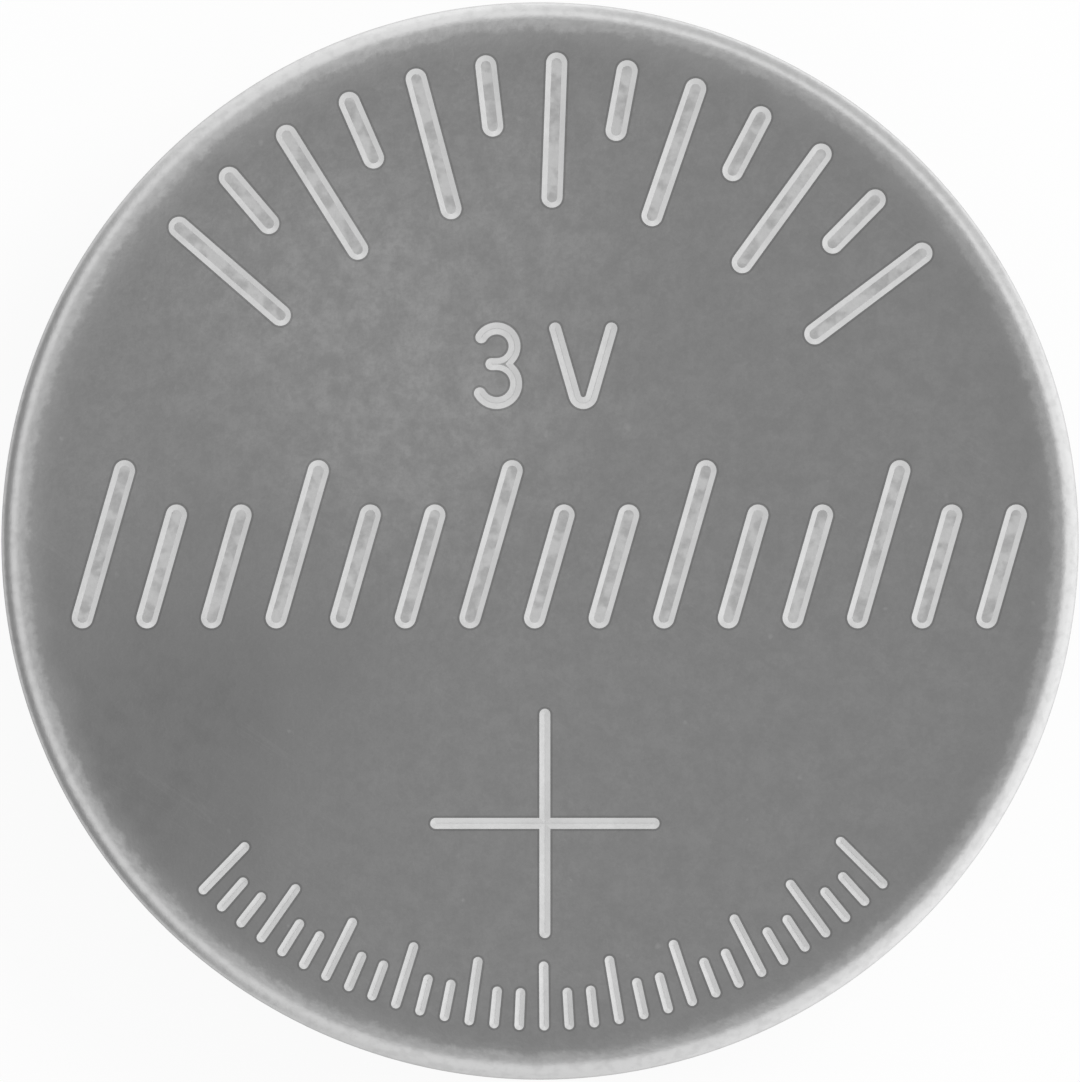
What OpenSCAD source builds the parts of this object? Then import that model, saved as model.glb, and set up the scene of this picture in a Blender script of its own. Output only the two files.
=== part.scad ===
// Lithium coin cell in millimetres, positive face up, standing on its negative contact face.
// Every round part is a section in the X-Z half plane, turned about the cell's axis.

/* [Cell] */
// Overall diameter of the cell
cell_d = 20; // [18:0.5:26]
// Overall height, from contact face to contact face
cell_h = 2.5; // [2.3:0.1:3.2]

/* [Positive can] */
// Thickness of the can's steel sheet
can_t = 0.25; // [0.2:0.01:0.3]
// Outer radius of the corner between the face and the wall
can_corner_r = 0.42; // [0.36:0.02:0.5]
// Width of the soft shoulder, from the wall to the flat of the face
can_shoulder_w = 0.85; // [0.7:0.05:1.2]
// Slope of the shoulder where it meets the corner, in degrees
can_shoulder_a = 8; // [5:1:12]
// Outer radius of the curl at the crimped mouth
crimp_r = 0.75; // [0.65:0.05:0.85]
// Angle that the curl turns inwards through, in degrees
crimp_a = 75; // [65:1:85]
// Straight lip past the curl
crimp_lip = 0.6; // [0.45:0.05:0.7]

/* [Negative cap] */
// Thickness of the cap's steel sheet
cap_t = 0.2; // [0.15:0.01:0.25]
// How far the contact face stands proud of the crimped lip
cap_proud = 0.22; // [0.1:0.02:0.3]
// Outer radius where the contact face turns up
cap_corner_r = 0.35; // [0.28:0.01:0.45]
// Slope of the riser between the contact face and the flange, in degrees
cap_rise_a = 60; // [50:1:75]
// Inner radius of the step under the flange
cap_step_r = 0.15; // [0.1:0.01:0.2]
// Width of the flat flange that the crimp clamps
cap_flange_w = 0.3; // [0.2:0.05:0.5]
// Outer radius of the heel between the flange and the skirt
cap_heel_r = 0.3; // [0.27:0.01:0.4]

/* [Gasket] */
// Thickness between the can's wall and the cap's skirt
gasket_wall_t = 0.35; // [0.25:0.05:0.45]
// Thickness pinched between the crimp and the flange
gasket_nip_t = 0.25; // [0.2:0.01:0.35]
// Thickness between the can's floor and the skirt's edge
gasket_base_t = 0.3; // [0.2:0.05:0.4]
// Thickness of the lip inside the skirt
gasket_lip_t = 0.25; // [0.2:0.05:0.35]
// Height of the lip inside the skirt, from the can's floor
gasket_lip_h = 0.8; // [0.6:0.05:0.95]
// How much higher the open edge sits at the cap than at the crimp
gasket_edge_rise = 0.08; // [0.04:0.01:0.14]
// Bulge of the open edge
gasket_bulge = 0.03; // [0.01:0.01:0.05]
// Clearance between the gasket and the metal
seal_gap = 0.01; // [0.005:0.005:0.02]

/* [Inside] */
// Thickness of the lithium disc
lithium_t = 0.5; // [0.4:0.05:0.6]
// Radial room between the lithium disc and the edge of the cap's flat floor
lithium_inset = 0.2; // [0.05:0.05:0.4]
// Edge radius of the lithium disc
lithium_edge_r = 0.08; // [0.04:0.01:0.15]
// Thickness of the separator
separator_t = 0.25; // [0.15:0.05:0.3]
// Height of the separator's rim above its floor
separator_rim_h = 0.5; // [0.3:0.05:0.8]
// Inner corner radius of the separator
separator_corner_r = 0.1; // [0.05:0.01:0.14]
// Radial room between the separator and the cap's riser
separator_gap = 0.08; // [0.05:0.01:0.15]
// Radial room between the pellet and the separator's rim
pellet_gap = 0.05; // [0.03:0.01:0.1]
// Edge radius of the cathode pellet
pellet_edge_r = 0.15; // [0.15:0.01:0.25]
// Thickness of the grid
grid_t = 0.15; // [0.1:0.01:0.2]
// Radial room between the grid's edge and the pellet's
grid_inset = 0.8; // [0.4:0.1:1.5]
// Pitch of the grid's openings along their long way
grid_long = 2.2; // [2:0.1:3]
// Pitch of the grid's openings along their short way
grid_short = 1.3; // [1.2:0.1:1.8]
// Width of the grid's strands
grid_strand = 0.22; // [0.15:0.01:0.3]
// Least width of the grid's solid border
grid_border = 0.25; // [0.15:0.05:0.5]

/* [Hidden] */
$fn = 180;
BEND_STEPS = 10;
SHOULDER_STEPS = 4;

nickel_grey = [0.55, 0.55, 0.54];
cap_grey = [0.66, 0.66, 0.65];
milky = [0.86, 0.85, 0.80];
lithium_grey = [0.74, 0.75, 0.77];
fleece_white = [0.93, 0.92, 0.89];
pellet_black = [0.10, 0.10, 0.11];
grid_grey = [0.62, 0.62, 0.60];

cell_r = cell_d / 2;

// Centres of the can's bends, with the shoulder tangent to the face and to the corner
shoulder_r = can_corner_r + (can_shoulder_w - can_corner_r) / sin(can_shoulder_a);
shoulder_c = [cell_r - can_shoulder_w, cell_h - shoulder_r];
corner_c = shoulder_c + (shoulder_r - can_corner_r) * [sin(can_shoulder_a), cos(can_shoulder_a)];
crimp_c = [cell_r - crimp_r, cap_proud + crimp_r * sin(crimp_a) + crimp_lip * cos(crimp_a)];

// The flange lies on the gasket, over the inner face of the curl
flange_z = crimp_c.y - (crimp_r - can_t) * sin(crimp_a) + gasket_nip_t;
roof_z = cell_h - can_t;
skirt_r = cell_r - can_t - gasket_wall_t;
skirt_z = roof_z - gasket_base_t;

// Centres of the cap's bends, from the skirt inwards
heel_c = [skirt_r - cap_heel_r, flange_z + cap_heel_r];
step_c = [heel_c.x - cap_flange_w, flange_z - cap_step_r];
floor_c = [
    step_c.x - (cos(cap_rise_a) * (step_c.y - cap_corner_r) + cap_corner_r + cap_step_r) / sin(cap_rise_a),
    cap_corner_r
];

// The stack inside, from the cap's floor to the can's
separator_z = cap_t + lithium_t;
pellet_z = separator_z + separator_t;
grid_z = roof_z - grid_t;
lithium_r = floor_c.x - lithium_inset;
separator_r = riser_x(cap_t, separator_z) - separator_gap;
pellet_r = separator_r - separator_t - pellet_gap;
grid_r = pellet_r - grid_inset;

// Points along an arc about c; one that goes on from another arc leaves its first point out
function arc(c, r, a0, a1, steps = BEND_STEPS, first = 0) =
    [for (i = [first:steps]) c + r * [cos(a0 + (a1 - a0) * i / steps), sin(a0 + (a1 - a0) * i / steps)]];

function reversed(points) = [for (i = [len(points) - 1:-1:0]) points[i]];

// A quarter round at the outer edge of a disc that ends at radius r, from a0 to a0 + 90
function disc_edge(r, z, edge_r, a0) = arc([r - edge_r, z], edge_r, a0, a0 + 90);

// Radius of the cap's riser at height z, d inside its outer face
function riser_x(d, z) = floor_c.x + (cap_corner_r - d) * sin(cap_rise_a)
    + (z - floor_c.y + (cap_corner_r - d) * cos(cap_rise_a)) / tan(cap_rise_a);

// Height of the can at radius x, d inside its outer face
function can_top_z(d, x) = x < shoulder_c.x ? cell_h - d
    : shoulder_c.y + sqrt(pow(shoulder_r - d, 2) - pow(x - shoulder_c.x, 2));

// The edge of the crimped lip, d inside the can's outer face
function lip_end(d) = crimp_c + (crimp_r - d) * [cos(crimp_a), -sin(crimp_a)]
    + crimp_lip * [-sin(crimp_a), -cos(crimp_a)];

// The can's line from its face to its lip, d inside its outer face
function can_side(d) = concat(
    arc(shoulder_c, shoulder_r - d, 90, 90 - can_shoulder_a, SHOULDER_STEPS),
    arc(corner_c, can_corner_r - d, 90 - can_shoulder_a, 0, first = 1),
    arc(crimp_c, crimp_r - d, 0, -crimp_a),
    [lip_end(d)]
);

// The cap's line from the top of its riser to the skirt's edge, d inside its outer face
function cap_side(d) = concat(
    arc(step_c, cap_step_r + d, 90 + cap_rise_a, 90),
    arc(heel_c, cap_heel_r - d, -90, 0),
    [[skirt_r - d, skirt_z]]
);

// A curve from one point to another that bulges downwards at its middle
function bulged(from, to, bulge) =
    [for (i = [1:BEND_STEPS]) let (t = i / BEND_STEPS) from + (to - from) * t - [0, 4 * bulge * t * (1 - t)]];

// Turns a section about the cell's axis
module turned(section) {
    rotate_extrude() polygon(section);
}

// A disc from height z0 to z1 with rounded edges
module soft_disc(r, z0, z1, edge_r) {
    turned(concat(
        [[0, z0]],
        disc_edge(r, z0 + edge_r, edge_r, -90),
        disc_edge(r, z1 - edge_r, edge_r, 0),
        [[0, z1]]
    ));
}

// The centres of the grid's openings, in rows that are set half a pitch apart
function opening_centres(reach) = [
    for (row = [-ceil(reach / grid_short) * 2:ceil(reach / grid_short) * 2])
        for (i = [-ceil(reach / grid_long) - 1:ceil(reach / grid_long)])
            [(i + (row % 2 == 0 ? 0 : 0.5)) * grid_long, row * grid_short / 2]
];

// Deep-drawn steel cup, mouth down, with its wall crimped in over the gasket
module positive_can() {
    color(nickel_grey)
        turned(concat(
            [[0, cell_h]],
            can_side(0),
            reversed(can_side(can_t)),
            [[0, roof_z]]
        ));
}

// Moulded ring of J section: pinched by the crimp, up the wall, and back inside the skirt
module gasket() {
    outer = can_t + seal_gap;
    lip_out = skirt_r - cap_t - seal_gap;
    lip_in = lip_out - gasket_lip_t;
    lip_c = [(lip_out + lip_in) / 2, roof_z - gasket_lip_h + gasket_lip_t / 2];
    edge = lip_end(outer);
    edge_z = edge.y + gasket_edge_rise;
    color(milky)
        turned(concat(
            [[lip_in, can_top_z(outer, lip_in)]],
            [for (p = can_side(outer)) if (p.x > lip_in || p.y < corner_c.y) p],
            bulged(edge, [riser_x(-seal_gap, edge_z), edge_z], gasket_bulge),
            arc(step_c, cap_step_r - seal_gap, 90 + cap_rise_a, 90),
            arc(heel_c, cap_heel_r + seal_gap, -90, 0),
            [[skirt_r + seal_gap, skirt_z + seal_gap], [lip_out, skirt_z + seal_gap]],
            arc(lip_c, gasket_lip_t / 2, 0, -180)
        ));
}

// Stepped steel cap: flat contact, riser, flange that the crimp clamps, and skirt
module negative_cap() {
    color(cap_grey)
        turned(concat(
            [[0, 0]],
            arc(floor_c, cap_corner_r, -90, -90 + cap_rise_a),
            cap_side(0),
            reversed(cap_side(cap_t)),
            reversed(arc(floor_c, cap_corner_r - cap_t, -90, -90 + cap_rise_a)),
            [[0, cap_t]]
        ));
}

// Punched disc, pressed on the inside of the cap
module lithium_disc() {
    color(lithium_grey) soft_disc(lithium_r, cap_t, separator_z, lithium_edge_r);
}

// Non-woven dish: its rim stands round the pellet
module separator() {
    inner_r = separator_r - separator_t;
    corner = [inner_r - separator_corner_r, pellet_z + separator_corner_r];
    rim_z = pellet_z + separator_rim_h;
    color(fleece_white)
        turned(concat(
            [[0, separator_z]],
            arc(corner, separator_corner_r + separator_t, -90, 0),
            [[separator_r, rim_z], [inner_r, rim_z]],
            arc(corner, separator_corner_r, 0, -90),
            [[0, pellet_z]]
        ));
}

// Pressed pellet that fills the height between the separator and the grid
module cathode_pellet() {
    color(pellet_black) soft_disc(pellet_r, pellet_z, grid_z, pellet_edge_r);
}

// Flat metal grid of diamond openings, between the pellet and the can
module cathode_grid() {
    long_half = grid_long / 2;
    short_half = grid_short / 2;
    edge_distance = long_half * short_half / norm([long_half, short_half]);
    opening = (edge_distance - grid_strand / 2) / edge_distance;
    reach = grid_r - grid_border;
    color(grid_grey)
        translate([0, 0, grid_z])
            linear_extrude(grid_t)
                difference() {
                    circle(grid_r);
                    for (c = opening_centres(reach)) {
                        far = max(
                            norm([abs(c.x) + long_half * opening, c.y]),
                            norm([c.x, abs(c.y) + short_half * opening])
                        );
                        if (far < reach)
                            translate(c)
                                polygon(opening * [
                                    [long_half, 0], [0, short_half], [-long_half, 0], [0, -short_half]
                                ]);
                    }
                }
}

positive_can();
gasket();
negative_cap();
lithium_disc();
separator();
cathode_pellet();
cathode_grid();
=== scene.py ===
"""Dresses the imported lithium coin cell: its crimped can with the stamped face, its cap and its gasket.

Sizes are in millimetres, as on a drawing of the cell, and each finished piece is scaled to metres once.
Angles are in degrees, counter-clockwise from +X on the face, and from outwards to upwards in a section.
"""

import logging
import math
from collections.abc import Callable, Iterable, Iterator
from dataclasses import dataclass, field, replace
from enum import Enum

import bmesh
import bpy
from bmesh.types import BMesh, BMFace, BMVert
from mathutils import Matrix, Vector


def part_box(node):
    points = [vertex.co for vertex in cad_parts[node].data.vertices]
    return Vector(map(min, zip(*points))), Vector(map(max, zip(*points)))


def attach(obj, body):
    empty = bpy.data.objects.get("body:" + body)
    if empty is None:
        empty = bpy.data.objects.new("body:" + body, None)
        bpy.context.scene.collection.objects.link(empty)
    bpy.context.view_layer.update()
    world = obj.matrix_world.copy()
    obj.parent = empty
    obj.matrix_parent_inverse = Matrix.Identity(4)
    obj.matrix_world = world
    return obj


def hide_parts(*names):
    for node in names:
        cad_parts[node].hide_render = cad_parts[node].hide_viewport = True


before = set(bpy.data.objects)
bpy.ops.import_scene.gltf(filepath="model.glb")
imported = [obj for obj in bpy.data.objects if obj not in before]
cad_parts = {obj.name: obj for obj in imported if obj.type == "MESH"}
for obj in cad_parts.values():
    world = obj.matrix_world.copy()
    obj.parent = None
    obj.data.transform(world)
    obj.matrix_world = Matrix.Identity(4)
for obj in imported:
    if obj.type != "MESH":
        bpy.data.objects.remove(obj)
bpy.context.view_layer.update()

BODY = "root"
MM = 0.001
MICRON = 1e-6
CHORD_SAG = 0.001
LEAST_BEND_STEPS = 8
LATHE_STEPS = 240
SHARP_EDGE = 24.0
CUT_EDGE = 60.0
WELD = 1e-4
ARMS = 4
NIP = 0.25

Colour = tuple[float, float, float]
Pair = tuple[float, float]
Socket = bpy.types.NodeSocket

log = logging.getLogger("coin_cell")


def cosine_of(angle: float) -> float:
    """The cosine of an angle in degrees."""
    return math.cos(math.radians(angle))


def sine_of(angle: float) -> float:
    """The sine of an angle in degrees."""
    return math.sin(math.radians(angle))


class Plane(Enum):
    """The two directions of the plane that a pen draws in."""

    SECTION = ((1.0, 0.0, 0.0), (0.0, 0.0, 1.0))
    FACE = ((1.0, 0.0, 0.0), (0.0, 1.0, 0.0))


class CanZone(Enum):
    """The finishes of the can, by their place among its material slots."""

    PLATED = 0
    GROOVE_WALL = 1
    GROOVE_FLOOR = 2
    # The step round each mark: the plating painted darker as shade.
    CREASE = 3


class Pen:
    """Draws a line of vertices: straight runs, and bends that leave them at a tangent."""

    def __init__(
        self, bm: BMesh, plane: Plane, start: Pair, heading: float = 0.0, level: float = 0.0
    ) -> None:
        """Puts the pen down.

        Args:
            bm: The mesh to draw in.
            plane: The plane to draw in.
            start: Where the line begins, in the plane's two directions.
            heading: The direction that it sets off in.
            level: How far up Z the plane of the face lies.
        """
        self.bm = bm
        self.across, self.up = (Vector(d) for d in plane.value)
        self.axis = self.across.cross(self.up)
        self.heading = heading
        self.tip = bm.verts.new(self.across * start[0] + self.up * start[1] + Vector((0, 0, level)))

    def towards(self, heading: float) -> Vector:
        """The unit vector of a heading."""
        return self.across * cosine_of(heading) + self.up * sine_of(heading)

    def turn(self, angle: float) -> "Pen":
        """Turns on the spot, which leaves a corner."""
        self.heading += angle
        return self

    def straight(self, length: float) -> "Pen":
        """Draws a straight run.

        Args:
            length: How long it is.

        Returns:
            This pen.
        """
        made = bmesh.ops.spin(
            self.bm, geom=[self.tip], cent=self.tip.co, axis=self.axis,
            dvec=self.towards(self.heading) * length, angle=0.0, steps=1,
        )
        return self.moved_to(made["geom_last"])

    def bend(self, radius: float, turn: float) -> "Pen":
        """Draws an arc, to the left for a positive turn.

        Args:
            radius: The arc's radius.
            turn: How far the heading turns.

        Returns:
            This pen.
        """
        centre = self.tip.co + self.towards(self.heading + math.copysign(90.0, turn)) * radius
        widest_step = 2 * math.degrees(math.acos(1 - CHORD_SAG / radius))
        made = bmesh.ops.spin(
            self.bm, geom=[self.tip], cent=centre, axis=self.axis,
            angle=math.radians(turn), steps=max(LEAST_BEND_STEPS, math.ceil(abs(turn) / widest_step)),
        )
        self.heading += turn
        return self.moved_to(made["geom_last"])

    def bow(self, end: Pair, rise: float) -> "Pen":
        """Draws an arc to a point, on the left of its chord.

        Args:
            end: The point, in the plane's two directions.
            rise: How far the arc stands off its chord.

        Returns:
            This pen.
        """
        run = end[0] - self.tip.co.dot(self.across)
        climb = end[1] - self.tip.co.dot(self.up)
        chord = math.hypot(run, climb)
        radius = chord * chord / (8 * rise) + rise / 2
        half = math.degrees(math.asin(chord / (2 * radius)))
        self.heading = math.degrees(math.atan2(climb, run)) + half
        return self.bend(radius, -2 * half)

    def moved_to(self, made: Iterable) -> "Pen":
        """Takes the vertex among what was made last as the new tip."""
        self.tip = next(g for g in made if isinstance(g, BMVert))
        return self


def turn_about_axis(bm: BMesh) -> None:
    """Turns a section about the cell's axis into a closed ring, as a lathe does.

    Args:
        bm: The mesh that holds the section.
    """
    bmesh.ops.spin(
        bm, geom=bm.verts[:] + bm.edges[:], cent=(0, 0, 0), axis=(0, 0, 1),
        angle=math.tau, steps=LATHE_STEPS, use_merge=True,
    )


def close_disc(bm: BMesh, radius: float) -> None:
    """Fills a round opening with one flat face, and turns all faces outwards.

    Args:
        bm: The mesh.
        radius: The opening's radius.
    """
    ring = [
        e for e in bm.edges
        if e.is_boundary and all(abs(v.co.xy.length - radius) < WELD for v in e.verts)
    ]
    bmesh.ops.contextual_create(bm, geom=ring)
    bmesh.ops.recalc_face_normals(bm, faces=bm.faces)


def soften_cut_edges(bm: BMesh, width: float) -> None:
    """Rounds the cut edges of a pressed sheet, which are its only square corners.

    Args:
        bm: The mesh.
        width: How wide the rounding is.
    """
    cut = [e for e in bm.edges if math.degrees(e.calc_face_angle(0.0)) > CUT_EDGE]
    bmesh.ops.bevel(
        bm, geom=cut, offset=width, offset_type="OFFSET", affect="EDGES",
        segments=2, profile=0.5, material=-1,
    )


def shade_smooth(bm: BMesh) -> None:
    """Shades all faces smooth, with a hard line along each sharp edge.

    Args:
        bm: The mesh.
    """
    for face in bm.faces:
        face.smooth = True
    for edge in bm.edges:
        edge.smooth = math.degrees(edge.calc_face_angle(0.0)) < SHARP_EDGE


def loose_object(name: str, bm: BMesh, materials: Iterable[bpy.types.Material] = ()) -> bpy.types.Object:
    """Makes an object of a mesh, still in millimetres.

    Args:
        name: The object's name.
        bm: The mesh, which is freed.
        materials: What its material slots hold.

    Returns:
        The new object.
    """
    mesh = bpy.data.meshes.new(name)
    bm.to_mesh(mesh)
    bm.free()
    for material in materials:
        mesh.materials.append(material)
    made = bpy.data.objects.new(name, mesh)
    bpy.context.scene.collection.objects.link(made)
    return made


def finish_piece(piece: bpy.types.Object, node: str) -> bpy.types.Object:
    """Scales a piece to metres and lets it stand for its CAD node.

    Args:
        piece: The piece in millimetres.
        node: The CAD node that it stands for.

    Returns:
        The piece.
    """
    piece.data.transform(Matrix.Scale(MM, 4))
    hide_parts(node)
    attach(piece, BODY)
    log.info("%s: %d faces", piece.name, len(piece.data.polygons))
    return piece


def empty_tree(owner: bpy.types.Material | bpy.types.World) -> bpy.types.NodeTree:
    """Switches on the nodes of a material or a world.

    Args:
        owner: The material or the world.

    Returns:
        Its node tree, with nothing in it.
    """
    owner.use_nodes = True
    owner.node_tree.nodes.clear()
    return owner.node_tree


class Graph:
    """Builds the nodes of one tree, from inputs to outputs."""

    def __init__(self, tree: bpy.types.NodeTree) -> None:
        """Takes the node tree to build in."""
        self.tree = tree

    def put(self, target: Socket, value: object) -> None:
        """Links a socket to an input, or sets the input's value.

        Args:
            target: The input.
            value: The socket to link, or the value to set.
        """
        if isinstance(value, Socket):
            self.tree.links.new(value, target)
        else:
            target.default_value = value

    def node(
        self, kind: str, inputs: dict[str | int, object] | None = None, **settings: object
    ) -> bpy.types.Node:
        """Adds a shader node.

        Args:
            kind: Blender's name of the node type, without its ShaderNode start.
            inputs: Values or sockets for its inputs, by name or place.
            **settings: Properties that are set on it first.

        Returns:
            The node.
        """
        made = self.tree.nodes.new("ShaderNode" + kind)
        for key, value in settings.items():
            setattr(made, key, value)
        for key, value in (inputs or {}).items():
            self.put(made.inputs[key], value)
        return made

    def math(self, operation: str, *values: object) -> Socket:
        """A Math node's result for those values."""
        return self.node("Math", dict(enumerate(values)), operation=operation).outputs[0]

    def ramp(
        self, value: object, start: object, end: object, low: object = 0.0, high: object = 1.0
    ) -> Socket:
        """A smooth step from low to high, while the value goes from start to end."""
        inputs = {"Value": value, "From Min": start, "From Max": end, "To Min": low, "To Max": high}
        return self.node("MapRange", inputs, interpolation_type="SMOOTHSTEP").outputs["Result"]

    def mix(self, factor: object, a: object, b: object) -> Socket:
        """Mixes two colours.

        Args:
            factor: The share of the second one.
            a: The first colour.
            b: The second colour.

        Returns:
            The mixed colour.
        """
        made = self.node("Mix", data_type="RGBA")
        self.put(made.inputs["Factor"], factor)
        for key, value in (("A", a), ("B", b)):
            colour = next(s for s in made.inputs if s.name == key and s.type == "RGBA")
            self.put(colour, value if isinstance(value, Socket) else (*value, 1.0))
        return next(s for s in made.outputs if s.type == "RGBA")

    def noise(
        self, place: object, scale: object, detail: float = 2.0, roughness: float = 0.5
    ) -> Socket:
        """Noise from 0 to 1, with that many features to the unit."""
        inputs = {"Vector": place, "Scale": scale, "Detail": detail, "Roughness": roughness}
        return self.node("TexNoise", inputs).outputs[0]

    def off_axis(self, place: Socket) -> Socket:
        """How far a place is from the Z axis."""
        flat = self.node("VectorMath", {0: place, 1: (1.0, 1.0, 0.0)}, operation="MULTIPLY").outputs[0]
        return self.node("VectorMath", {0: flat}, operation="LENGTH").outputs["Value"]

    def varied(self, base: object, *parts: tuple[Socket, float]) -> Socket:
        """Lets masks change a value.

        Args:
            base: The value where all masks are 0.
            *parts: Each mask, with how much it adds where it is 1.

        Returns:
            The changed value.
        """
        value = base
        for mask, amount in parts:
            value = self.math("ADD", value, self.math("MULTIPLY", mask, amount))
        return value


class Effect(Graph):
    """A node group that turns a place, in millimetres, into one value over the surface."""

    def __init__(self, name: str, **sizes: float) -> None:
        """Makes the empty group.

        Args:
            name: The group's name.
            **sizes: Its number inputs, with their defaults.
        """
        super().__init__(bpy.data.node_groups.new(name, "ShaderNodeTree"))
        sockets = self.tree.interface
        sockets.new_socket("Place", in_out="INPUT", socket_type="NodeSocketVector")
        for key, default in sizes.items():
            number = sockets.new_socket(key, in_out="INPUT", socket_type="NodeSocketFloat")
            number.default_value = default
        sockets.new_socket("Value", in_out="OUTPUT", socket_type="NodeSocketFloat")
        self.given = self.tree.nodes.new("NodeGroupInput").outputs

    def result(self, value: Socket) -> bpy.types.NodeTree:
        """Gives the group its output, and returns the finished group."""
        self.put(self.tree.nodes.new("NodeGroupOutput").inputs["Value"], value)
        return self.tree


def cloud_effect() -> bpy.types.NodeTree:
    """Soft patches, as of uneven plating or a wiped surface.

    Returns:
        The node group.
    """
    g = Effect("cloud", Scale=0.3, Softness=0.2)
    noise = g.noise(g.given["Place"], g.given["Scale"], detail=2.5)
    start = g.math("SUBTRACT", 0.5, g.given["Softness"])
    end = g.math("ADD", 0.5, g.given["Softness"])
    return g.result(g.ramp(noise, start, end))


def grain_effect() -> bpy.types.NodeTree:
    """The fine grain of a matt surface: two sizes of noise on each other.

    Returns:
        The node group.
    """
    g = Effect("grain", Scale=10.0, Roughness=0.6)
    coarser = 0.37
    fine_share = 0.65
    fine = g.noise(g.given["Place"], g.given["Scale"], detail=3.0, roughness=g.given["Roughness"])
    coarse = g.noise(g.given["Place"], g.math("MULTIPLY", g.given["Scale"], coarser))
    both = g.varied(g.math("MULTIPLY", fine, fine_share), (coarse, 1 - fine_share))
    return g.result(g.ramp(both, start=0.32, end=0.68))


def specks_effect() -> bpy.types.NodeTree:
    """Sparse round specks, each of its own size.

    Returns:
        The node group.
    """
    g = Effect("specks", Scale=2.0, Share=0.2, Size=0.2)
    finer = 5.0
    least_size = 0.3
    swell = 2.0
    core_share = 0.1
    cells = g.node("TexVoronoi", {"Vector": g.given["Place"], "Scale": g.given["Scale"]})
    chance = g.node("SeparateColor", {"Color": cells.outputs["Color"]})
    chosen = g.math("LESS_THAN", chance.outputs[0], g.given["Share"])
    fine = g.noise(g.given["Place"], g.math("MULTIPLY", g.given["Scale"], finer))
    uneven = g.math("MULTIPLY", fine, swell)
    size = g.math("MULTIPLY", g.math("ADD", chance.outputs[1], least_size), uneven)
    reach = g.math("MULTIPLY", g.given["Size"], size)
    core = g.math("MULTIPLY", reach, core_share)
    return g.result(g.math("MULTIPLY", chosen, g.ramp(cells.outputs["Distance"], start=reach, end=core)))


def hairlines_effect() -> bpy.types.NodeTree:
    """Faint straight scratches in one direction, which come and go.

    Returns:
        The node group.
    """
    g = Effect("hairlines", Angle=0.0, Scale=4.0, Width=0.012)
    along = 0.05
    given = {"Vector": g.given["Place"], "Angle": g.given["Angle"]}
    turned = g.node("VectorRotate", given, rotation_type="Z_AXIS").outputs[0]
    drawn = g.node("Mapping", {"Vector": turned, "Scale": (along, 1.0, 1.0)}).outputs[0]
    lines = g.noise(drawn, g.given["Scale"], detail=1.0)
    off_line = g.math("ABSOLUTE", g.math("SUBTRACT", lines, 0.5))
    line = g.ramp(off_line, start=g.given["Width"], end=0.0)
    patches = g.ramp(g.noise(g.given["Place"], scale=0.6), start=0.5, end=0.64)
    return g.result(g.math("MULTIPLY", line, patches))


def ragged_ring_effect() -> bpy.types.NodeTree:
    """Goes from 0 inside a radius to 1 outside it, along an uneven line.

    Returns:
        The node group.
    """
    g = Effect("ragged_ring", Radius=9.5, Width=0.2, Unevenness=0.2, Scale=2.0)
    radius = g.off_axis(g.given["Place"])
    noise = g.noise(g.given["Place"], g.given["Scale"], detail=4.0, roughness=0.62)
    sway = g.math("SUBTRACT", noise, 0.5)
    swayed = g.math("ADD", radius, g.math("MULTIPLY", sway, g.given["Unevenness"]))
    half = g.math("MULTIPLY", g.given["Width"], 0.5)
    start = g.math("SUBTRACT", g.given["Radius"], half)
    return g.result(g.ramp(swayed, start, g.math("ADD", g.given["Radius"], half)))


class Effects:
    """The node groups that the finishes share, each built once."""

    def __init__(self) -> None:
        """Builds the groups."""
        self.cloud = cloud_effect()
        self.grain = grain_effect()
        self.specks = specks_effect()
        self.hairlines = hairlines_effect()
        self.ragged_ring = ragged_ring_effect()


def shade(colour: Colour, factor: float) -> Colour:
    """A colour made lighter or darker by a factor."""
    return tuple(min(1.0, c * factor) for c in colour)


@dataclass(frozen=True)
class Coat:
    """One coat of a finish: where it lies, the share that shows, and its factor on the base colour."""

    where: Socket
    share: float
    factor: float


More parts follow.
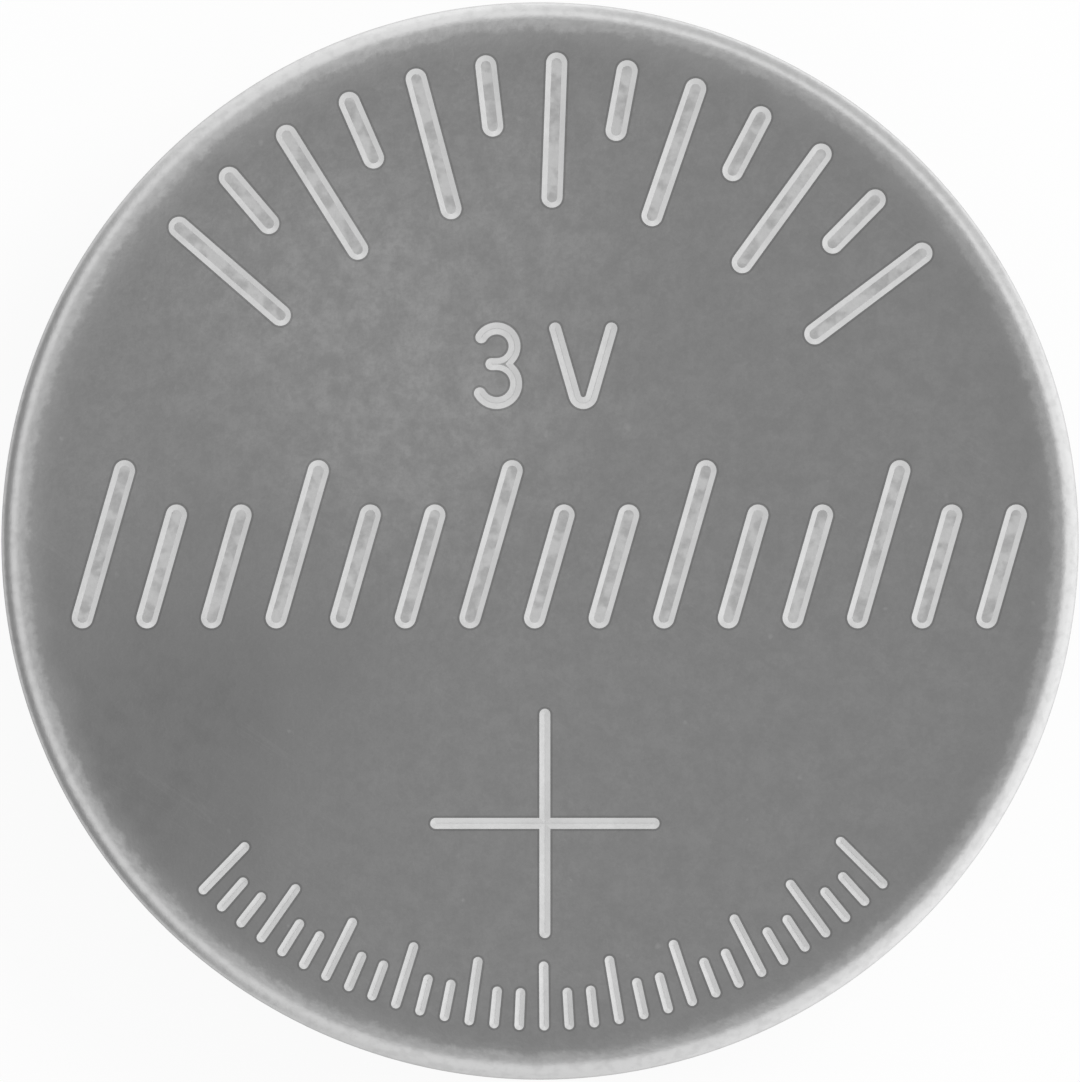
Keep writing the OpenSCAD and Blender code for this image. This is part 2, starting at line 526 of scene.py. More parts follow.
class Paint(Graph):
    """The nodes of one material, with its place in millimetres and its shader."""

    def __init__(self, name: str, **constants: object) -> None:
        """Makes the material.

        Args:
            name: The material's name.
            **constants: Values of the shader's inputs that are the same all over, with _ for each space.
        """
        self.material = bpy.data.materials.new(name)
        super().__init__(empty_tree(self.material))
        self.shader = self.node("BsdfPrincipled")
        for key, value in constants.items():
            self.put(self.shader.inputs[key.replace("_", " ")], value)
        self.node("OutputMaterial", {"Surface": self.shader.outputs[0]})
        coordinates = self.node("TexCoord").outputs["Object"]
        self.place = self.node("Mapping", {"Vector": coordinates, "Scale": (1 / MM,) * 3}).outputs[0]

    def effect(self, group: bpy.types.NodeTree, place: Socket | None = None, **sizes: float) -> Socket:
        """Places a shared effect.

        Args:
            group: The effect's node group.
            place: The place that it reads, if not the material's own.
            **sizes: Values of its inputs.

        Returns:
            The effect's value.
        """
        made = self.node("Group", node_tree=group)
        self.put(made.inputs["Place"], self.place if place is None else place)
        for key, value in sizes.items():
            self.put(made.inputs[key], value)
        return made.outputs["Value"]

    def coated(self, base: Colour, *coats: Coat) -> Socket:
        """Lays coats over a base colour.

        Args:
            base: The base colour.
            *coats: The coats, the last of them on top.

        Returns:
            The colour that shows.
        """
        colour = base
        for coat in coats:
            shown = self.math("MULTIPLY", coat.where, coat.share)
            colour = self.mix(shown, colour, shade(base, coat.factor))
        return colour

    def dress(
        self, colour: object, roughness: object, height: object, microns: float
    ) -> bpy.types.Material:
        """Gives the shader its colour, its roughness and its relief.

        Args:
            colour: The base colour.
            roughness: The roughness.
            height: The relief, from 0 to 1.
            microns: How high a relief of 1 stands, in thousandths of a millimetre.

        Returns:
            The finished material.
        """
        relief = self.node("Bump", {"Strength": 1.0, "Distance": microns * MICRON, "Height": height})
        self.put(self.shader.inputs["Base Color"], colour)
        self.put(self.shader.inputs["Roughness"], roughness)
        self.put(self.shader.inputs["Normal"], relief.outputs[0])
        return self.material


@dataclass(frozen=True)
class CanPlating:
    """Nickel plating: matt and clouded on the face, drawn on the wall, and lighter at the corner, partly
    burnished and partly a painted highlight.
    """

    name: str = "can_plating"
    colour: Colour = (0.575, 0.575, 0.575)
    roughness: float = 0.34
    grain_per_mm: float = 9.0
    grain_microns: float = 2.2
    wiped: Pair = (-2.2, 3.9)
    wiped_r: float = 6.4
    dulled: Pair = (-6.8, -3.4)
    dulled_r: float = 6.5
    patch_core_r: float = 0.8
    patch_sway: float = 1.6
    # The corner's lighter band is partly burnish and partly a painted highlight, stronger to the upper
    # left.
    burnish_and_highlight_r: float = 9.48
    soft_inset: float = 0.16
    soft_share: float = 0.28
    highlight_off_centre: tuple[float, float, float] = (-0.12, 0.16, 0.0)
    burnish_and_highlight_bottom: Pair = (2.10, 2.26)
    drawn_stretch: float = 0.06
    drawn_share: float = 0.25

    def patch(self, p: Paint, centre: Pair, sway: Socket, reach: float) -> Socket:
        """A broad soft patch of the face about a point, with an uneven edge.

        Args:
            p: The material's nodes.
            centre: The patch's middle, on the face.
            sway: The mask that makes its edge uneven.
            reach: How far from the middle it ends.

        Returns:
            A mask that is 1 in the middle.
        """
        away = (-centre[0], -centre[1], 0.0)
        moved = p.node("Mapping", {"Vector": p.place, "Location": away}).outputs[0]
        distance = p.varied(p.off_axis(moved), (sway, self.patch_sway))
        return p.ramp(distance, start=reach, end=self.patch_core_r)

    def burnish_and_highlight(self, p: Paint, effects: Effects) -> Socket:
        """Where the corner is lighter, partly rubbed bright and partly a painted highlight that is stronger
        at the upper left, and not on the wall.

        Args:
            p: The material's nodes.
            effects: The effects that the finishes share.

        Returns:
            A mask that is 1 where it is brightest.
        """
        moved = p.node("Mapping", {"Vector": p.place, "Location": self.highlight_off_centre}).outputs[0]
        sharp = p.effect(
            effects.ragged_ring, Radius=self.burnish_and_highlight_r, Width=0.18, Unevenness=0.36, Scale=4.2
        )
        # The soft band, moved towards the upper left, is a painted highlight.
        soft_r = self.burnish_and_highlight_r - self.soft_inset
        soft = p.effect(
            effects.ragged_ring, place=moved, Radius=soft_r, Width=0.7, Unevenness=0.9, Scale=0.9
        )
        flecks = p.ramp(p.noise(p.place, scale=5.0, detail=3.0), start=0.34, end=0.56, low=0.52, high=0.72)
        rubbed = p.varied(p.math("MULTIPLY", sharp, flecks), (soft, self.soft_share))
        height = p.node("SeparateXYZ", {"Vector": p.place}).outputs["Z"]
        return p.math("MULTIPLY", rubbed, p.ramp(height, *self.burnish_and_highlight_bottom))

    def material(self, effects: Effects) -> bpy.types.Material:
        """Builds the material.

        Args:
            effects: The effects that the finishes share.

        Returns:
            The material.
        """
        p = Paint(self.name, Metallic=1.0)
        grain = p.effect(effects.grain, Scale=self.grain_per_mm)
        sway = p.effect(effects.cloud, Scale=0.35, Softness=0.2)
        mottle = p.effect(effects.cloud, Scale=2.3, Softness=0.14)
        wiped = self.patch(p, self.wiped, sway, self.wiped_r)
        dulled = self.patch(p, self.dulled, sway, self.dulled_r)
        ring = p.effect(effects.ragged_ring, Radius=8.7, Width=1.4, Unevenness=1.2, Scale=0.5)
        burnish_and_highlight = self.burnish_and_highlight(p, effects)
        light = p.effect(effects.specks, Scale=1.9, Share=0.35, Size=0.13)
        scratch = p.effect(effects.hairlines, Angle=0.6, Scale=3.0)
        colour = p.coated(
            self.colour,
            Coat(ring, share=0.6, factor=0.92),
            Coat(wiped, share=1.0, factor=1.27),
            Coat(dulled, share=1.0, factor=0.71),
            Coat(mottle, share=0.4, factor=0.86),
            Coat(grain, share=0.5, factor=0.68),
            Coat(light, share=0.26, factor=1.5),
            Coat(scratch, share=0.06, factor=1.5),
            # Painted highlight at the corner, over partly burnished metal.
            Coat(burnish_and_highlight, share=1.0, factor=1.42),
        )
        roughness = p.varied(self.roughness, (grain, 0.06), (burnish_and_highlight, -0.06))
        stretch = (1.0, 1.0, self.drawn_stretch)
        drawn = p.node("Mapping", {"Vector": p.place, "Scale": stretch}).outputs[0]
        height = p.varied(grain, (p.noise(drawn, self.grain_per_mm), self.drawn_share))
        return p.dress(colour, roughness, height, self.grain_microns)


@dataclass(frozen=True)
class StampedWall:
    """The bright wall of a stamped groove, burnished by the die's edge, and lighter in colour than the
    plating partly as a painted highlight.
    """

    # Much lighter than the plating, partly as painted light.
    colour: Colour = (0.86, 0.86, 0.86)
    roughness: float = 0.30

    def material(self, effects: Effects) -> bpy.types.Material:
        """Builds the material.

        Args:
            effects: The effects that the finishes share.

        Returns:
            The material.
        """
        p = Paint("stamped_wall", Metallic=1.0)
        grain = p.effect(effects.grain, Scale=14.0)
        cloud = p.effect(effects.cloud, Scale=1.1, Softness=0.2)
        colour = p.coated(self.colour, Coat(cloud, share=0.35, factor=0.78))
        roughness = p.varied(self.roughness, (grain, 0.08))
        return p.dress(colour, roughness, grain, microns=1.2)


@dataclass(frozen=True)
class StampedFloor:
    """The frosted floor of a stamped groove, with darker patches, and lighter in colour than the plating
    partly as painted light.
    """

    # Much lighter than the plating, partly as painted light.
    colour: Colour = (0.84, 0.84, 0.84)
    roughness: float = 0.66

    def material(self, effects: Effects) -> bpy.types.Material:
        """Builds the material.

        Args:
            effects: The effects that the finishes share.

        Returns:
            The material.
        """
        p = Paint("stamped_floor", Metallic=1.0)
        grain = p.effect(effects.grain, Scale=9.0, Roughness=0.7)
        patches = p.effect(effects.cloud, Scale=3.0, Softness=0.1)
        colour = p.coated(
            self.colour, Coat(patches, share=0.7, factor=0.70), Coat(grain, share=0.4, factor=1.13)
        )
        roughness = p.varied(self.roughness, (grain, 0.1))
        return p.dress(colour, roughness, grain, microns=3.0)


@dataclass(frozen=True)
class SatinSteel:
    """Satin sheet steel, plated or bare, with a fine stipple and a few handling marks."""

    name: str
    colour: Colour
    roughness: float = 0.31
    grain_per_mm: float = 8.0
    grain_microns: float = 1.5
    wear_radius: float = 7.6

    def material(self, effects: Effects) -> bpy.types.Material:
        """Builds the material.

        Args:
            effects: The effects that the finishes share.

        Returns:
            The material.
        """
        p = Paint(self.name, Metallic=1.0)
        grain = p.effect(effects.grain, Scale=self.grain_per_mm)
        cloud = p.effect(effects.cloud, Scale=0.3, Softness=0.2)
        rubbed = p.effect(
            effects.ragged_ring, Radius=self.wear_radius, Width=0.5, Unevenness=0.8, Scale=1.6
        )
        dark = p.effect(effects.specks, Scale=1.2, Share=0.2, Size=0.07)
        lines = p.effect(effects.hairlines, Angle=1.1, Scale=3.2)
        cross_lines = p.effect(effects.hairlines, Angle=-0.5, Scale=2.6)
        scratch = p.math("MAXIMUM", lines, cross_lines)
        colour = p.coated(
            self.colour,
            Coat(cloud, share=0.5, factor=0.9),
            Coat(grain, share=0.4, factor=0.86),
            Coat(rubbed, share=0.4, factor=1.1),
            Coat(dark, share=0.4, factor=0.6),
            Coat(scratch, share=0.2, factor=1.3),
        )
        roughness = p.varied(self.roughness, (grain, 0.08), (rubbed, -0.05))
        return p.dress(colour, roughness, grain, self.grain_microns)


@dataclass(frozen=True)
class MilkyPolymer:
    """Natural polypropylene from the mould: milky, a little translucent, faintly flow-marked."""

    colour: Colour = (0.86, 0.85, 0.80)
    roughness: float = 0.42

    def material(self, effects: Effects) -> bpy.types.Material:
        """Builds the material.

        Args:
            effects: The effects that the finishes share.

        Returns:
            The material.
        """
        p = Paint(
            "milky_polymer", Subsurface_Weight=0.25, Subsurface_Scale=0.0006,
            Subsurface_Radius=(1.0, 0.95, 0.85), IOR=1.49,
        )
        grain = p.effect(effects.grain, Scale=7.0)
        flow = p.effect(effects.cloud, Scale=0.8, Softness=0.25)
        dust = p.effect(effects.specks, Scale=2.4, Share=0.12, Size=0.08)
        colour = p.coated(
            self.colour, Coat(flow, share=0.6, factor=0.92), Coat(dust, share=0.5, factor=0.6)
        )
        roughness = p.varied(self.roughness, (grain, 0.12))
        return p.dress(colour, roughness, grain, microns=2.0)


@dataclass(frozen=True)
class BareLithium:
    """Soft punched lithium: dull silver, roller-marked, and smudged grey where a film has begun."""

    colour: Colour = (0.74, 0.75, 0.77)
    roughness: float = 0.42

    def material(self, effects: Effects) -> bpy.types.Material:
        """Builds the material.

        Args:
            effects: The effects that the finishes share.

        Returns:
            The material.
        """
        p = Paint("bare_lithium", Metallic=1.0)
        grain = p.effect(effects.grain, Scale=5.0)
        film = p.effect(effects.cloud, Scale=0.45, Softness=0.14)
        lines = p.effect(effects.hairlines, Scale=2.4, Width=0.03)
        colour = p.coated(
            self.colour, Coat(film, share=0.7, factor=0.62), Coat(lines, share=0.3, factor=1.2)
        )
        roughness = p.varied(self.roughness, (film, 0.2))
        height = p.varied(grain, (lines, 0.6))
        return p.dress(colour, roughness, height, microns=4.0)


@dataclass(frozen=True)
class Fleece:
    """White non-woven fleece: pressed fibres that lie in every direction."""

    colour: Colour = (0.93, 0.92, 0.89)
    roughness: float = 0.85
    directions: tuple[float, ...] = (0.2, 1.1, 1.9, 2.8)

    def material(self, effects: Effects) -> bpy.types.Material:
        """Builds the material.

        Args:
            effects: The effects that the finishes share.

        Returns:
            The material.
        """
        p = Paint("fleece", Sheen_Weight=0.2)
        fibres = None
        for angle in self.directions:
            layer = p.effect(effects.hairlines, Angle=angle, Scale=8.0, Width=0.05)
            fibres = layer if fibres is None else p.math("MAXIMUM", fibres, layer)
        grain = p.effect(effects.grain, Scale=12.0)
        cloud = p.effect(effects.cloud, Scale=1.4, Softness=0.2)
        colour = p.coated(
            self.colour, Coat(cloud, share=0.5, factor=0.88), Coat(fibres, share=0.6, factor=1.06)
        )
        roughness = p.varied(self.roughness, (fibres, -0.1))
        return p.dress(colour, roughness, p.varied(fibres, (grain, 0.6)), microns=18.0)


@dataclass(frozen=True)
class PressedMix:
    """Pressed manganese dioxide and graphite: black, granular, with fine glints."""

    colour: Colour = (0.035, 0.035, 0.038)
    glint_colour: Colour = (0.22, 0.22, 0.23)
    glint_share: float = 0.5
    roughness: float = 0.78

    def material(self, effects: Effects) -> bpy.types.Material:
        """Builds the material.

        Args:
            effects: The effects that the finishes share.

        Returns:
            The material.
        """
        p = Paint("pressed_mix")
        grain = p.effect(effects.grain, Scale=9.0, Roughness=0.75)
        glint = p.effect(effects.specks, Scale=9.0, Share=0.15, Size=0.25)
        cloud = p.effect(effects.cloud, Scale=0.7, Softness=0.2)
        colour = p.coated(self.colour, Coat(cloud, share=0.6, factor=1.8))
        colour = p.mix(p.math("MULTIPLY", glint, self.glint_share), colour, self.glint_colour)
        roughness = p.varied(self.roughness, (glint, -0.35))
        return p.dress(colour, roughness, grain, microns=14.0)


@dataclass(frozen=True)
class Run:
    """One run of a stroke: a bend of a radius and turn, or a straight of a length, where turn is 0."""

    size: float
    turn: float = 0.0


@dataclass(frozen=True)
class Stroke:
    """A stamped stroke of even width with round ends, given by its middle line."""

    start: Pair
    heading: float
    width: float
    runs: tuple[Run, ...]

    @classmethod
    def bar(cls, start: Pair, end: Pair, width: float) -> "Stroke":
        """Makes a straight stroke.

        Args:
            start: The centre of one round end.
            end: The centre of the other.
            width: Its width.

        Returns:
            The stroke.
        """
        run, climb = end[0] - start[0], end[1] - start[1]
        heading = math.degrees(math.atan2(climb, run))
        return cls(start, heading, width, (Run(math.hypot(run, climb)),))

    def outline(self, bm: BMesh, half: float, level: float) -> None:
        """Draws the closed line round the stroke.

        Args:
            bm: The mesh to draw in.
            half: Half the width of the band that the line goes round.
            level: The height to draw at.
        """
        right = self.heading - 90
        start = (self.start[0] + half * cosine_of(right), self.start[1] + half * sine_of(right))
        pen = Pen(bm, Plane.FACE, start, self.heading, level)
        for run in self.runs:
            self.draw_side(pen, run, half)
        pen.bend(half, 180)
        for run in reversed(self.runs):
            self.draw_side(pen, Run(run.size, -run.turn), half)
        pen.bend(half, 180)

    @staticmethod
    def draw_side(pen: Pen, run: Run, half: float) -> None:
        """Draws one run's right-hand side.

        Args:
            pen: The pen.
            run: The run.
            half: Half the width of the band that the line goes round.
        """
        if run.turn:
            pen.bend(run.size + math.copysign(half, run.turn), run.turn)
        else:
            pen.straight(run.size)


@dataclass(frozen=True)
class Cross:
    """A stamped cross of two equal strokes with round ends, drawn as one outline."""

    centre: Pair
    span: float
    width: float

    def outline(self, bm: BMesh, half: float, level: float) -> None:
        """Draws the closed line round the cross, from one inner corner over the four arms.

        Args:
            bm: The mesh to draw in.
            half: Half the width of the band that the line goes round.
            level: The height to draw at.
        """
        arm = (self.span - self.width) / 2 - half
        pen = Pen(bm, Plane.FACE, (self.centre[0] + half, self.centre[1] - half), 0.0, level)
        for _ in range(ARMS):
            pen.straight(arm)
            pen.bend(half, 180)
            pen.straight(arm)
            pen.turn(-90)


@dataclass(frozen=True)
class Three:
    """A stamped figure 3 of even width with round ends, drawn as one outline."""

    waist: Pair
    upper_r: float
    lower_r: float
    sweep: float
    waist_w: float
    width: float

    def outline(self, bm: BMesh, half: float, level: float) -> None:
        """Draws the closed line round the figure, clockwise from its upper end.

        Args:
            bm: The mesh to draw in.
            half: Half the width of the band that the line goes round.
            level: The height to draw at.
        """
        upper_out, lower_out = self.upper_r + half, self.lower_r + half
        notch_y = half * (self.lower_r - self.upper_r) / (self.lower_r + self.upper_r)
        notch_x = math.sqrt(upper_out**2 - (notch_y - self.upper_r) ** 2)
        upper_end = math.degrees(math.atan2(notch_y - self.upper_r, notch_x))
        lower_start = math.degrees(math.atan2(notch_y + self.lower_r, notch_x))
        tip = self.sweep - 90
        start = (
            self.waist[0] + upper_out * cosine_of(tip),
            self.waist[1] + self.upper_r + upper_out * sine_of(tip),
        )
        pen = Pen(bm, Plane.FACE, start, tip - 90, level)
        pen.bend(upper_out, upper_end - tip)
        pen.turn(lower_start - upper_end)
        pen.bend(lower_out, -tip - lower_start)
        pen.bend(half, -180)
        pen.bend(self.lower_r - half, self.sweep)
        pen.straight(self.waist_w)
        pen.bend(half, -180)
        pen.straight(self.waist_w)
        pen.bend(self.upper_r - half, self.sweep)
        pen.bend(half, -180)


Mark = Stroke | Cross | Three


@dataclass(frozen=True)
class Groove:
    """The section of a stamped groove: its depth, its sloping walls, and the die's faint step, whose ring
    round the mark is painted darker as shade.
    """

    depth: float = 0.05
    wall: float = 0.10
    lift: float = 0.02
    crease_w: float = 0.04
    crease_depth: float = 0.001
    floor_zone: CanZone = CanZone.GROOVE_FLOOR

    def add_cutter(self, cutters: BMesh, mark: Mark, face_z: float) -> None:
        """Adds the solid that a mark takes out of the face.

        Args:
            cutters: The mesh that holds all cutters.
            mark: The mark.
            face_z: The height of the face.
        """
        bm = bmesh.new()
        mark.outline(bm, mark.width / 2 + self.crease_w, face_z + self.lift)
        bmesh.ops.remove_doubles(bm, verts=bm.verts, dist=WELD)
        rim = bm.edges[:]
        bmesh.ops.contextual_create(bm, geom=rim)
        bmesh.ops.recalc_face_normals(bm, faces=bm.faces)
        floor = bm.faces[:]
        if floor[0].normal.z < 0:
            bmesh.ops.reverse_faces(bm, faces=floor)
        # The die's step round the mark gets the painted shade.
        self.sink(bm, floor, 0.0, self.lift + self.crease_depth, CanZone.CREASE)
        self.sink(bm, floor, self.crease_w, 0.0, CanZone.CREASE)
        self.sink(bm, floor, self.wall, self.depth - self.crease_depth, CanZone.GROOVE_WALL)
        for face in floor:
            face.material_index = self.floor_zone.value
        bmesh.ops.contextual_create(bm, geom=[e for e in bm.edges if e.is_boundary])
        bmesh.ops.recalc_face_normals(bm, faces=bm.faces)
        ready = bpy.data.meshes.new("cutter")
        bm.to_mesh(ready)
        bm.free()
        cutters.from_mesh(ready)
        bpy.data.meshes.remove(ready)

    @staticmethod
    def sink(bm: BMesh, floor: list[BMFace], inwards: float, down: float, zone: CanZone) -> None:
        """Moves a cutter's end inwards and down.

        Args:
            bm: The cutter's mesh.
            floor: The faces of its end.
            inwards: How far in the end's outline moves.
            down: How far down the end moves.
            zone: The zone of the faces that this leaves round it.
        """
        left = bmesh.ops.inset_region(
            bm, faces=floor, thickness=inwards, depth=-down, use_boundary=True, use_even_offset=True,
        )
        for face in left["faces"]:
            face.material_index = zone.value


def spaced(ends: Pair, count: int) -> Iterator[float]:
    """That many values from one end to the other, evenly spaced."""
    for i in range(count):
        yield ends[0] + (ends[1] - ends[0]) * i / (count - 1)


@dataclass
class FaceMarks:
    """The marks stamped in the face: polarity sign, plain rating, and generic bars round and across."""

    groove: Groove = Groove()
    sign_groove: Groove = Groove(floor_zone=CanZone.GROOVE_WALL)
    rating_groove: Groove = Groove(wall=0.107, floor_zone=CanZone.GROOVE_WALL)
    tick_groove: Groove = Groove(wall=0.086, floor_zone=CanZone.GROOVE_WALL)
    sign_centre: Pair = (0.09, -5.22)
    sign_span: float = 4.24
    sign_stroke: float = 0.203
    rating_foot: float = 2.44
    rating_height: float = 1.60
    rating_stroke: float = 0.22
    three_x: float = -0.80
    three_upper_r: float = 0.33
    three_sweep: float = 240.0
    three_waist: float = 0.10
    volt_x: float = 0.80
    volt_half_w: float = 0.52
    volt_foot_r: float = 0.16
    band_stroke: float = 0.39
    fan_reach: Pair = (6.36, 8.84)
    fan_short_start: float = 7.72
    fan_angles: Pair = (139.0, 37.0)
    fan_bars: int = 13
    row_feet: Pair = (-8.46, 8.26)
    row_foot_y: float = -1.42
    row_heads_y: tuple[float, float, float] = (1.30, 0.48, 0.48)
    row_slant: float = 16.0
    row_bars: int = 15
    tick_stroke: float = 0.175
    tick_outer_r: float = 8.96
    tick_inner_rs: tuple[float, float, float] = (7.86, 8.36, 8.36)
    tick_angles: Pair = (226.0, 315.0)
    ticks: int = 31

    def sign(self) -> Iterator[Cross]:
        """The plus sign of the positive pole."""
        yield Cross(self.sign_centre, self.sign_span, self.sign_stroke)

    def rating(self) -> Iterator[Mark]:
        """A plain figure and unit for the voltage of all such cells.

        Returns:
            The figure, and then the unit.
        """
        width = self.rating_stroke
        foot = self.rating_foot + width / 2
        rise = self.rating_height - width
        lower_r = rise / 2 - self.three_upper_r
        waist = (self.three_x, foot + 2 * lower_r)
        yield Three(waist, self.three_upper_r, lower_r, self.three_sweep, self.three_waist, width)
        reach = math.hypot(self.volt_half_w, rise - self.volt_foot_r)
        fall = math.atan2(rise - self.volt_foot_r, self.volt_half_w) + math.asin(self.volt_foot_r / reach)
        arm = Run(math.sqrt(reach**2 - self.volt_foot_r**2))
        volt_start = (self.volt_x - self.volt_half_w, foot + rise)
        lean = math.degrees(fall)
        yield Stroke(volt_start, -lean, width, (arm, Run(self.volt_foot_r, 2 * lean), arm))

    @staticmethod
    def radial(angle: float, inner: float, outer: float, width: float) -> Stroke:
        """A straight stroke along a radius of the face."""
        across, up = cosine_of(angle), sine_of(angle)
        return Stroke.bar((inner * across, inner * up), (outer * across, outer * up), width)

    def fan(self) -> Iterator[Stroke]:
        """Wide bars round the upper part of the face, long and short in turn, as on a dial.

        Returns:
            The bars, from left to right.
        """
        for i, angle in enumerate(spaced(self.fan_angles, self.fan_bars)):
            inner = self.fan_short_start if i % 2 else self.fan_reach[0]
            yield self.radial(angle, inner, self.fan_reach[1], self.band_stroke)

    def row(self) -> Iterator[Stroke]:
        """Wide slanting bars across the middle, every third one tall.

        Returns:
            The bars, from left to right.
        """
        slope = math.tan(math.radians(self.row_slant))
        for i, x in enumerate(spaced(self.row_feet, self.row_bars)):
            head_y = self.row_heads_y[i % len(self.row_heads_y)]
            head = (x + (head_y - self.row_foot_y) * slope, head_y)
            yield Stroke.bar((x, self.row_foot_y), head, self.band_stroke)

    def scale(self) -> Iterator[Stroke]:
        """Fine ticks round the lower part of the face, every third one long.

        Returns:
            The ticks, from left to right.
        """
        for i, angle in enumerate(spaced(self.tick_angles, self.ticks)):
            inner = self.tick_inner_rs[i % len(self.tick_inner_rs)]
            yield self.radial(angle, inner, self.tick_outer_r, self.tick_stroke)

    def cutters(self, face_z: float) -> BMesh:
        """Makes the solids that all marks take out of the face.

        Args:
            face_z: The height of the face.

        Returns:
            One mesh that holds them.
        """
        cutters = bmesh.new()
        stamps = (
            (self.sign(), self.sign_groove),
            (self.rating(), self.rating_groove),
            (self.fan(), self.groove),
            (self.row(), self.groove),
            (self.scale(), self.tick_groove),
        )
        for marks, groove in stamps:
            for mark in marks:
                groove.add_cutter(cutters, mark, face_z)
        return cutters


@dataclass
class PositiveCan:
    """The deep-drawn can, mouth down, with its crimped lip and its stamped face."""

    radius: float
    height: float
    sheet: float = 0.25
    corner_r: float = 0.42
    shoulder_w: float = 0.85
    shoulder_a: float = 8.0
    crimp_r: float = 0.75
    crimp_a: float = 75.0
    lip: float = 0.60
    lip_clear: float = 0.22
    stamped_r: float = 9.10
    cut_edge_r: float = 0.03
    # How dark the painted shade on the step round the marks is.
    painted_crease_shade: float = 0.80
    marks: FaceMarks = field(default_factory=FaceMarks)
    plating: CanPlating = field(default_factory=CanPlating)
    wall_finish: StampedWall = field(default_factory=StampedWall)
    floor_finish: StampedFloor = field(default_factory=StampedFloor)

    @property
    def shoulder_r(self) -> float:
        """Radius of the soft shoulder, at a tangent to the face and to the corner."""
        return self.corner_r + (self.shoulder_w - self.corner_r) / sine_of(self.shoulder_a)

    @property
    def crimp_z(self) -> float:
        """Height of the curl's centre."""
        return self.lip_clear + self.crimp_r * sine_of(self.crimp_a) + self.lip * cosine_of(self.crimp_a)

    @property
    def wall_h(self) -> float:
        """Height of the straight wall between the corner and the curl."""
        fall = (self.shoulder_r - self.corner_r) * cosine_of(self.shoulder_a)
        return self.height - self.shoulder_r + fall - self.crimp_z

    def draw_side(self, pen: Pen, inside: float) -> None:
        """Draws the can's line from the edge of its flat face to its lip.

        Args:
            pen: The pen, at the edge of the flat face.
            inside: How far the line lies inside the outer face.
        """
        pen.bend(self.shoulder_r - inside, -self.shoulder_a)
        pen.bend(self.corner_r - inside, self.shoulder_a - 90)
        pen.straight(self.wall_h)
        pen.bend(self.crimp_r - inside, -self.crimp_a)
        pen.straight(self.lip)

    def shell(self) -> BMesh:
        """The plain can: one line turned about the axis, closed by the face, and given its thickness.

        Returns:
            The mesh.
        """
        bm = bmesh.new()
        pen = Pen(bm, Plane.SECTION, (self.stamped_r, self.height))
        pen.straight(self.radius - self.shoulder_w - self.stamped_r)
        self.draw_side(pen, 0.0)
        turn_about_axis(bm)
        close_disc(bm, self.stamped_r)
        bmesh.ops.solidify(bm, geom=bm.faces[:], thickness=self.sheet)
        soften_cut_edges(bm, self.cut_edge_r)
        return bm

    def stamp(self, blank: bpy.types.Object) -> None:
        """Cuts the marks into the face of the plain can.

        Args:
            blank: The plain can, which gets the stamped mesh.
        """
        die = loose_object("die", self.marks.cutters(self.height), blank.data.materials)
        cut = blank.modifiers.new("stamp", "BOOLEAN")
        cut.operation = "DIFFERENCE"
        cut.solver = "EXACT"
        cut.use_self = True
        cut.object = die
        bpy.context.view_layer.update()
        evaluated = blank.evaluated_get(bpy.context.evaluated_depsgraph_get())
        stamped = bpy.data.meshes.new_from_object(evaluated)
        blank.modifiers.clear()
        blank.data = stamped
        bpy.data.objects.remove(die)

    def build(self, effects: Effects) -> bpy.types.Object:
        """Builds and dresses the can.

        Args:
            effects: The effects that the finishes share.

        Returns:
            The finished piece.
        """
        # The step round the marks is the plating painted darker as shade.
        dull = shade(self.plating.colour, self.painted_crease_shade)
        finishes = {
            CanZone.PLATED: self.plating,
            CanZone.GROOVE_WALL: self.wall_finish,
            CanZone.GROOVE_FLOOR: self.floor_finish,
            CanZone.CREASE: replace(self.plating, name="crease_painted_shade", colour=dull),
        }
        materials = [finishes[zone].material(effects) for zone in CanZone]
        can = loose_object("stamped_can", self.shell(), materials)
        self.stamp(can)
        bm = bmesh.new()
        bm.from_mesh(can.data)
        shade_smooth(bm)
        bm.to_mesh(can.data)
        bm.free()
        return finish_piece(can, "positive_can")


@dataclass
class NegativeCap:
    """The stepped cap: flat contact, riser, flange under the crimp, and skirt."""

    skirt_r: float
    skirt_z: float
    flange_z: float
    sheet: float = 0.20
    corner_r: float = 0.35
    rise_a: float = 60.0
    step_r: float = 0.15
    flange_w: float = 0.30
    heel_r: float = 0.30
    flat_ring_w: float = 0.15
    cut_edge_r: float = 0.03
    finish: SatinSteel = SatinSteel("cap_plating", (0.66, 0.66, 0.65))

    @property
    def riser(self) -> float:
        """Length of the straight slope between the two bends of the riser."""
        bends = (self.corner_r + self.step_r) * (1 - cosine_of(self.rise_a))
        return (self.flange_z - bends) / sine_of(self.rise_a)

    @property
    def contact_r(self) -> float:
        """Radius of the flat contact face."""
        bends = (self.corner_r + self.step_r) * sine_of(self.rise_a)
        return self.skirt_r - self.heel_r - self.flange_w - bends - self.riser * cosine_of(self.rise_a)

    def shell(self) -> BMesh:
        """The cap: one line turned about the axis, closed by the contact face, and given its thickness.

        Returns:
            The mesh.
        """
        bm = bmesh.new()
        pen = Pen(bm, Plane.SECTION, (self.contact_r - self.flat_ring_w, 0.0))
        pen.straight(self.flat_ring_w)
        pen.bend(self.corner_r, self.rise_a)
        pen.straight(self.riser)
        pen.bend(self.step_r, -self.rise_a)
        pen.straight(self.flange_w)
        pen.bend(self.heel_r, 90)
        pen.straight(self.skirt_z - self.flange_z - self.heel_r)
        turn_about_axis(bm)
        close_disc(bm, self.contact_r - self.flat_ring_w)
        bmesh.ops.solidify(bm, geom=bm.faces[:], thickness=self.sheet)
        soften_cut_edges(bm, self.cut_edge_r)
        shade_smooth(bm)
        return bm

    def build(self, effects: Effects) -> bpy.types.Object:
        """Builds and dresses the cap."""
        cap = loose_object("stepped_cap", self.shell(), [self.finish.material(effects)])
        return finish_piece(cap, "negative_cap")


